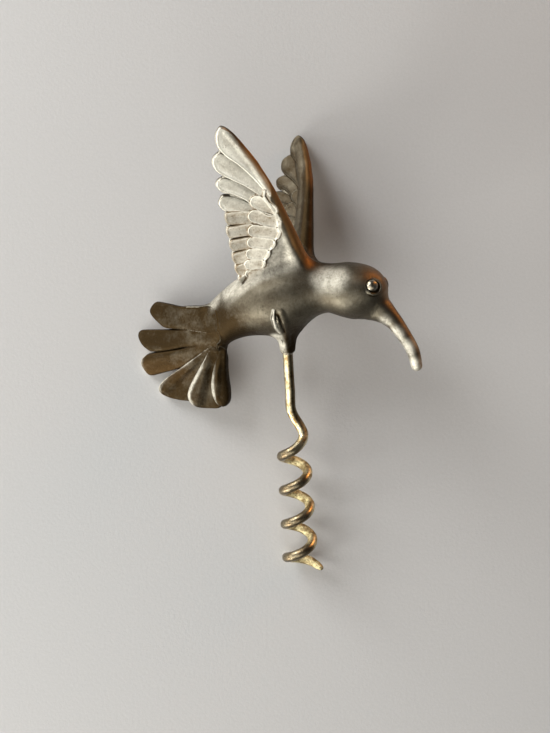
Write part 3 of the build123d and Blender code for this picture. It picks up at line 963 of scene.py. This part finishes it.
wing_end = np.array(SHOULDER) + WING_CUT * np.array(WING_SPAN)
flip = np.array((1, -1, 1))
right_plane = (np.array(WING_SPAN), wing_end)
left_plane = (right_plane[0] * flip, wing_end * flip)
tail_normal = np.array((TAIL_CUT_NORMAL[0], 0.0, TAIL_CUT_NORMAL[1]))
tail_point = (TAIL_CUT_POINT[0], 0.0, TAIL_CUT_POINT[1])


def everywhere(place):
    return True


body_cuts = (
    (*right_plane, lambda place: place.y < 0 and place.z > 15),
    (*left_plane, lambda place: place.y > 0 and place.z > 15),
    (tail_normal, tail_point, lambda place: place.x < -14),
)
body = cast_piece("bird_body_cast", *sculpt(BODY_BOX, BODY_STEP), body_cuts, ["bird_body"])
tail_cuts = ((-tail_normal, tail_point, everywhere),)
tail = cast_piece("tail_fan_cast", *sculpt(TAIL_BOX, BODY_STEP), tail_cuts, ["tail_fan"])
wing_v, wing_q = sculpt(WING_BOX, WING_STEP, wing_axes, SHOULDER)
right_cuts = ((-right_plane[0], right_plane[1], everywhere),)
right_wing = cast_piece("right_wing_cast", wing_v, wing_q, right_cuts, ["right_wing"])
left_cuts = ((-left_plane[0], left_plane[1], everywhere),)
left_wing = cast_piece("left_wing_cast", wing_v * flip, wing_q[:, ::-1], left_cuts, ["left_wing"])

# ---- Eyes, worm and solder


def shell_object(name, rings, replaced, values=None):
    """A mesh through rings of points, in the bird's frame, closed at its ends."""
    count, sides = rings.shape[:2]
    faces = []
    for i in range(count - 1):
        for j in range(sides):
            k = (j + 1) % sides
            faces.append((i * sides + j, i * sides + k, (i + 1) * sides + k, (i + 1) * sides + j))
    faces.append(tuple(reversed(range(sides))))
    faces.append(tuple(range((count - 1) * sides, count * sides)))
    mesh = bpy.data.meshes.new(name)
    mesh.from_pydata(to_table(rings.reshape(-1, 3)).tolist(), [], faces)
    for key, per_ring in (values or {}).items():
        layer = mesh.attributes.new(key, "FLOAT", "POINT")
        per_point = per_ring if len(per_ring) == count * sides else np.repeat(per_ring, sides)
        layer.data.foreach_set("value", per_point.astype(np.float32))
    mesh.polygons.foreach_set("use_smooth", [True] * (len(faces) - 2) + [False] * 2)
    mesh.update()
    bm = bmesh.new()
    bm.from_mesh(mesh)
    store(bm, mesh)
    return add_piece(name, mesh, replaced)


def eye_bead(name, side, node):
    """A flattened bead that fills the seat inside the eye's ring."""
    across = unit(np.cross(eye_axis, (0.0, 0.0, 1.0)))
    upward = np.cross(across, eye_axis)
    turns = np.linspace(0, 2 * np.pi, 40, endpoint=False)
    circle = np.cos(turns)[:, None] * across + np.sin(turns)[:, None] * upward
    rings = []
    for tilt in np.linspace(-0.45, 1.0, 16):
        angle = tilt * np.pi / 2 * 0.97
        radius = EYE_RADIUS * math.cos(angle)
        rise = EYE_DOME * math.sin(angle) + 0.02
        rings.append(np.array(EYE_PLACE) + eye_axis * rise + circle * radius)
    rings = np.array(rings) * (1, side, 1)
    return shell_object(name, rings, [node])


right_eye = eye_bead("right_eye_bead", 1, "right_eye")
left_eye = eye_bead("left_eye_bead", -1, "left_eye")


def worm_rings(sides=24):
    """Rings of points along the wire: straight shank, kink, helix and point."""
    keys = [(0.0, 0.0, z) for z in SHANK_HEIGHTS]
    keys.extend(BEND_POINTS)
    turns = (HELIX_TOP - HELIX_BOTTOM) / HELIX_PITCH
    for share in np.linspace(0, 1, int(turns * 14)):
        z = HELIX_TOP + (HELIX_BOTTOM - HELIX_TOP) * share
        angle = HELIX_START - share * turns * 2 * np.pi
        radius = HELIX_RADIUS + (HELIX_TOP - z) * HELIX_CONE
        keys.append((radius * math.cos(angle), radius * math.sin(angle), z))
    helix_keys = len(keys)
    keys.extend(POINT_PLACES)
    keys = np.array(keys)
    reach = np.concatenate(([0.0], np.cumsum(np.linalg.norm(np.diff(keys, axis=0), axis=1))))
    along = np.append(np.arange(0.0, reach[-1], WORM_STEP), reach[-1])
    centre = np.column_stack([curve_through(reach, keys[:, i])(along) for i in range(3)])
    to_point = (along - reach[helix_keys - 1]) / (reach[-1] - reach[helix_keys - 1])
    radius = np.interp(to_point, POINT_SHARES, POINT_RADII)
    ahead = unit(np.gradient(centre, axis=0))
    normal = unit(np.cross(ahead[0], (0.0, 1.0, 0.0)))
    rings = []
    circle = np.linspace(0, 2 * np.pi, sides, endpoint=False)
    for place, forward, size in zip(centre, ahead, radius):
        normal = unit(normal - forward * (normal @ forward))
        side = np.cross(forward, normal)
        rings.append(place + size * (np.cos(circle)[:, None] * normal + np.sin(circle)[:, None] * side))
    rings = np.array(rings)
    flat = rings.reshape(-1, 3)
    rough = ramp(0.3, 2.2, centre[:, 1]) * ramp(-26.0, -29.0, centre[:, 2])
    amount = 0.015 + 0.045 * np.repeat(rough, sides)
    bumps = amount * (lattice_noise(flat, 0.7, 5) + 0.6 * lattice_noise(flat, 2.4, 6))
    away = unit(flat - np.repeat(centre, sides, 0))
    worn = ramp(-0.3, -2.4, centre[:, 1]) * ramp(-24.0, -29.0, centre[:, 2])
    # Painted shade on the shank's side that faces towards the beak.
    dark = ramp(0.0, 0.75, away[:, 0]) * np.repeat(ramp(-27.0, -20.0, centre[:, 2]), sides)
    return (flat + away * bumps[:, None]).reshape(rings.shape), {"rough": rough, "worn": worn, "dark": dark}


rings, worm_values = worm_rings()
worm = shell_object("worm_wire", rings, ["worm"], worm_values)


def collar_rings(sides=48):
    """The ragged fillet of solder round the shank at the mouth of the socket."""
    rings = []
    turns = np.linspace(0, 2 * np.pi, sides, endpoint=False)
    ragged = 0.2 * np.sin(2 * turns + 0.8) + 0.14 * np.sin(5 * turns) + 0.08 * np.sin(9 * turns + 2)
    for radius, z, share in COLLAR_PROFILE:
        place = np.column_stack((np.cos(turns), np.sin(turns), np.zeros(sides)))
        place *= (radius + 0.25 * share * ragged)[:, None]
        place[:, 2] = z + share * ragged
        rings.append(place)
    return np.array(rings)


solder = shell_object("worm_solder_fillet", collar_rings(), ["worm_solder"])

# ---- Materials

BARE_METAL = (0.125, 0.112, 0.085, 1.0)
# Colour of metal rubbed bright, and of painted highlights.
RUBBED_AND_HIGHLIGHT_METAL = (0.66, 0.63, 0.54, 1.0)
WING_METAL = (0.93, 0.90, 0.79, 1.0)
# The browns of tarnish and of painted shade, off and on the feathered face.
TARNISH_AND_SHADE_BROWN = (0.030, 0.019, 0.008, 1.0)
WING_TARNISH_AND_SHADE_BROWN = (0.22, 0.16, 0.09, 1.0)
# Colour of the painted warm reflection.
WARM_REFLECTION = (0.46, 0.23, 0.08, 1.0)
PIT_BROWN = (0.035, 0.028, 0.02, 1.0)
BRASS = (0.80, 0.71, 0.47, 1.0)
BRASS_BROWN = (0.34, 0.23, 0.10, 1.0)
CRUST_BROWN = (0.20, 0.14, 0.06, 1.0)
CRUST_YELLOW = (0.76, 0.68, 0.40, 1.0)
STEEL = (0.155, 0.12, 0.08, 1.0)
STEEL_BROWN = (0.06, 0.042, 0.024, 1.0)
SHADED_BROWN = (0.07, 0.042, 0.016, 1.0)
MARK_BROWN = (0.07, 0.05, 0.03, 1.0)
SOLDER = (0.50, 0.46, 0.38, 1.0)
SOLDER_BROWN = (0.16, 0.12, 0.08, 1.0)
BEAD = (0.42, 0.39, 0.32, 1.0)
BEAD_BROWN = (0.20, 0.165, 0.11, 1.0)
TABLE_DARK = (0.425, 0.426, 0.428, 1.0)
TABLE_LIGHT = (0.485, 0.486, 0.488, 1.0)


class Surface:
    """The nodes of one material, with places given in millimetres on the table."""

    def __init__(self, name):
        self.material = bpy.data.materials.new(name)
        self.material.use_nodes = True
        self.tree = self.material.node_tree
        self.shader = self.tree.nodes["Principled BSDF"]
        place = self.node("TexCoord", {}, "Object")
        self.place = self.node("VectorMath", {0: place, 1: (1000.0, 1000.0, 1000.0)}, operation="MULTIPLY")

    def node(self, kind, inputs, output=0, **settings):
        """One output of a new node with the given inputs, which are values or other nodes' outputs."""
        node = self.tree.nodes.new("ShaderNode" + kind)
        for key, setting in settings.items():
            setattr(node, key, setting)
        for key, value in inputs.items():
            self.put(node.inputs[key], value)
        return node.outputs[output]

    def put(self, socket, value):
        if isinstance(value, bpy.types.NodeSocket):
            self.tree.links.new(value, socket)
        else:
            socket.default_value = value

    def math(self, operation, a, b, clamp=False):
        return self.node("Math", {0: a, 1: b}, operation=operation, use_clamp=clamp)

    def times(self, a, b):
        return self.math("MULTIPLY", a, b)

    def plus(self, total, *parts, clamp=False):
        """The sum, which is kept within 0 and 1 after each part if clamp is set."""
        for part in parts:
            total = self.math("ADD", total, part, clamp)
        return total

    def swing(self, noise, amount):
        """Noise made to swing about zero."""
        return self.times(self.plus(noise, -0.5), amount)

    def value(self, name):
        return self.node("Attribute", {}, "Fac", attribute_name=name)

    def noise(self, scale, detail=3.0, roughness=0.55, stretch=(1.0, 1.0, 1.0), turn=(0.0, 0.0, 0.0)):
        """Noise from 0 to 1; scale is in lumps to the millimetre."""
        place = self.node("Mapping", {"Vector": self.place, "Rotation": turn, "Scale": stretch})
        inputs = {"Vector": place, "Scale": scale, "Detail": detail, "Roughness": roughness}
        return self.node("TexNoise", inputs, "Fac")

    def spread(self, value, low, high, out_low=0.0, out_high=1.0):
        """Maps low..high to out_low..out_high and stops there."""
        inputs = {"Value": value, "From Min": low, "From Max": high, "To Min": out_low, "To Max": out_high}
        return self.node("MapRange", inputs, "Result", interpolation_type="SMOOTHSTEP")

    def mix(self, factor, a, b):
        return self.node("Mix", {"Factor": factor, 6: a, 7: b}, 2, data_type="RGBA")

    def finish(self, color, roughness, height, metallic=1.0):
        """Fills in the shader; the height is in millimetres."""
        normal = self.node("Bump", {"Distance": 0.001, "Height": height}, "Normal")
        sockets = self.shader.inputs
        self.put(sockets["Base Color"], color)
        self.put(sockets["Metallic"], metallic)
        self.put(sockets["Roughness"], roughness)
        self.put(sockets["Normal"], normal)
        return self.material


def pewter_material():
    """Cast white metal: tarnished brown, with painted shade in its hollows and on its lower side, rubbed
    bright on its edges, and painted with highlights and a warm reflection.
    """
    s = Surface("pewter")
    grain, rubbed_and_highlight = s.value("grain"), s.value("rubbed_and_highlight")
    blotches = s.noise(0.28, 4.0, 0.6)
    flecks = s.noise(1.3, 4.0, 0.65)
    dust = s.noise(5.0, 3.0, 0.7)
    scratches = s.noise(2.2, 3.0, 0.6, stretch=(6.0, 0.5, 1.0), turn=(0.0, 0.0, 0.6))
    pits = s.times(s.spread(s.noise(2.6, 2.0, 0.5), 0.67, 0.73), s.spread(s.noise(0.5, 2.0), 0.42, 0.6))

    swings = (s.swing(blotches, 1.1), s.swing(flecks, 0.55), s.swing(scratches, 0.5))
    wear = s.times(s.spread(s.value("worn"), 0.08, 0.55), -0.75)
    # Painted shade in hollows and creases, stronger on the feathered face.
    shade = s.spread(s.value("hollow_shade"), 0.04, s.spread(grain, 0.0, 1.0, 0.55, 0.38))
    specks = s.times(s.spread(s.noise(2.3, 3.0, 0.6), 0.60, 0.70), s.times(grain, 0.5))
    # How far the metal turns brown: tarnish with painted shade, noise, lighter worn edges and specks.
    amount = s.plus(s.value("tarnish_and_shade"), *swings, wear)
    amount = s.plus(amount, s.times(shade, 1.15), specks, clamp=True)

    patchy = s.spread(s.noise(0.9, 5.0, 0.68), 0.36, 0.56, 0.55, 1.0)
    # Bare metal, rubbed bright and painted with highlights in patches.
    clean = s.mix(s.times(rubbed_and_highlight, patchy), BARE_METAL, RUBBED_AND_HIGHLIGHT_METAL)
    clean = s.mix(grain, clean, WING_METAL)
    color = s.mix(amount, clean, s.mix(grain, TARNISH_AND_SHADE_BROWN, WING_TARNISH_AND_SHADE_BROWN))
    # Painted warm reflection in copper colour.
    color = s.mix(s.times(s.value("warm_reflection"), 0.7), color, WARM_REFLECTION)
    color = s.mix(s.times(pits, 0.6), color, PIT_BROWN)

    rough = s.plus(0.42, s.times(amount, 0.14), s.times(grain, 0.16), s.times(rubbed_and_highlight, 0.13))
    rough = s.plus(rough, s.swing(flecks, 0.14), clamp=True)

    cast = s.times(dust, s.spread(grain, 0.0, 1.0, 0.35, 1.25))
    height = s.plus(s.times(cast, 0.05), s.times(flecks, 0.10), s.times(scratches, 0.028))
    height = s.plus(height, s.times(pits, -0.10))
    matte = s.math("MAXIMUM", grain, s.times(rubbed_and_highlight, 0.65))
    return s.finish(color, rough, height, s.plus(1.0, s.times(matte, -0.75)))


def wire_material():
    """Brass-plated steel wire, worn to grey on the outside of the turns, with painted shade on the shank's
    side that faces towards the beak.
    """
    s = Surface("worm_wire")
    crusted = s.value("rough")
    flecks = s.noise(2.4, 4.0, 0.65)
    brass = s.mix(s.spread(s.noise(0.5, 4.0, 0.6), 0.4, 0.65), BRASS, BRASS_BROWN)
    crust = s.mix(s.spread(s.noise(0.55, 5.0, 0.75), 0.42, 0.6), CRUST_BROWN, CRUST_YELLOW)
    brass = s.mix(s.times(crusted, 0.9), brass, crust)
    steel = s.mix(s.spread(flecks, 0.4, 0.62), STEEL, STEEL_BROWN)
    color = s.mix(s.times(s.value("worn"), 0.85), brass, steel)
    # Painted shade on the shank's side that faces towards the beak.
    color = s.mix(s.times(s.value("dark"), 0.85), color, SHADED_BROWN)
    marks = s.spread(s.noise(1.1, 3.0, 0.6), 0.60, 0.70)
    color = s.mix(s.times(marks, 0.8), color, MARK_BROWN)
    rough = s.plus(s.spread(flecks, 0.3, 0.7, 0.26, 0.42), s.times(crusted, 0.16))
    height = s.times(s.noise(4.5, 4.0, 0.7), s.plus(0.03, s.times(crusted, 0.16)))
    return s.finish(color, rough, s.plus(height, s.times(marks, -0.03)))


def plain_metal(name, patches, limits, light, dark, rough, lumps, depth):
    """A metal in two shades with a lumpy surface."""
    s = Surface(name)
    color = s.mix(s.spread(s.noise(*patches), *limits), light, dark)
    return s.finish(color, rough, s.times(s.noise(*lumps), depth))


def floor_material():
    s = Surface("pale_table")
    fine = s.noise(1.2, 4.0, 0.6)
    return s.finish(s.mix(fine, TABLE_DARK, TABLE_LIGHT), 0.6, s.times(fine, 0.05), 0.0)


pewter = pewter_material()
for piece in (body, tail, right_wing, left_wing):
    piece.data.materials.append(pewter)
worm.data.materials.append(wire_material())
solder_metal = plain_metal(
    "solder", (1.6, 3.0), (0.42, 0.62), SOLDER, SOLDER_BROWN, 0.4, (2.2, 4.0, 0.65), 0.22
)
solder.data.materials.append(solder_metal)
bead_metal = plain_metal("eye_bead", (1.2, 3.0), (0.4, 0.68), BEAD, BEAD_BROWN, 0.3, (3.5, 3.0), 0.03)
for piece in (right_eye, left_eye):
    piece.data.materials.append(bead_metal)

# ---- Stage

bpy.ops.mesh.primitive_plane_add(size=FLOOR_SIZE, location=(0, 0, FLOOR_LEVEL))
floor = bpy.context.active_object
floor.name = "floor"
floor.data.materials.append(floor_material())

camera_data = bpy.data.cameras.new("camera")
camera_data.sensor_width = SENSOR_WIDTH
camera_data.lens = LENS
camera = bpy.data.objects.new("camera", camera_data)
camera.location = CAMERA_PLACE
bpy.context.scene.collection.objects.link(camera)
bpy.context.scene.camera = camera


def soft_light(name, place, size, power, color):
    """An area light that faces the object."""
    light_data = bpy.data.lights.new(name, "AREA")
    light_data.shape = "RECTANGLE"
    light_data.size, light_data.size_y = size
    light_data.energy = power
    light_data.color = color
    light = bpy.data.objects.new(name, light_data)
    light.location = place
    light.rotation_euler = (Vector(LIGHT_TARGET) - Vector(place)).to_track_quat("-Z", "Z").to_euler()
    bpy.context.scene.collection.objects.link(light)


for light in LIGHTS:
    soft_light(*light)
bpy.context.scene.view_settings.view_transform = "Standard"
world = bpy.data.worlds.new("world")
bpy.context.scene.world = world
world.use_nodes = True
background = world.node_tree.nodes["Background"]
background.inputs["Color"].default_value = WORLD_COLOR
background.inputs["Strength"].default_value = WORLD_STRENGTH
